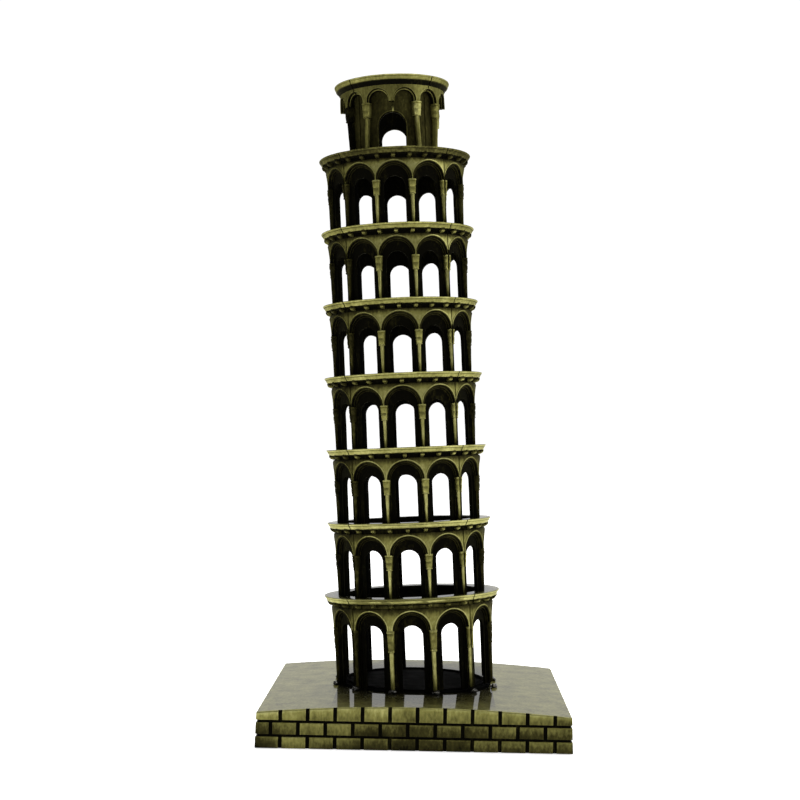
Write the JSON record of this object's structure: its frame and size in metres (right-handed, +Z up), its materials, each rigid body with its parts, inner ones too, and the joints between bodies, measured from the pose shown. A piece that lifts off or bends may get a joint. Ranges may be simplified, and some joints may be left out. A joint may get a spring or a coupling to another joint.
{
  "type": "miniature landmark model",
  "caption": "Small die-cast souvenir of a leaning round tower with arcaded galleries, in antiqued brass finish, on a square brick-sided base.",
  "frame": {"origin": "centre of the underside, on the table", "axes": "+Z up along the height, -Y is the front that carries the widest view of the brick side, +X to its right; the tower leans towards -X and a little towards +Y"},
  "size_m": [0.0664, 0.0664, 0.1471],
  "materials": {
    "tower_metal": "antiqued satin, dark in the recesses",
    "base_metal": "antiqued, polished on top",
    "dark_metal": "dark patina",
    "solder": "dull, darkened",
    "steel": "zinc plated",
    "felt": "matt felt"
  },
  "bodies": {
    "root": {"base_shell": "base_metal", "base_felt_pad": "felt", "foot_plate": "dark_metal", "foot_washer_front": "steel", "foot_washer_right": "steel", "foot_washer_back": "steel", "foot_washer_left": "steel", "foot_screw_front": "steel", "foot_screw_right": "steel", "foot_screw_back": "steel", "foot_screw_left": "steel", "tower_quarter_front": "tower_metal", "tower_quarter_right": "tower_metal", "tower_quarter_back": "tower_metal", "tower_quarter_left": "tower_metal", "seam_solder_front_right": "solder", "seam_solder_back_right": "solder", "seam_solder_back_left": "solder", "seam_solder_front_left": "solder", "foot_solder_01": "solder", "foot_solder_02": "solder", "foot_solder_03": "solder", "foot_solder_04": "solder", "foot_solder_05": "solder", "foot_solder_06": "solder", "foot_solder_07": "solder", "foot_solder_08": "solder", "foot_solder_09": "solder", "foot_solder_10": "solder", "foot_solder_11": "solder", "foot_solder_12": "solder"}
  },
  "joints": []
}
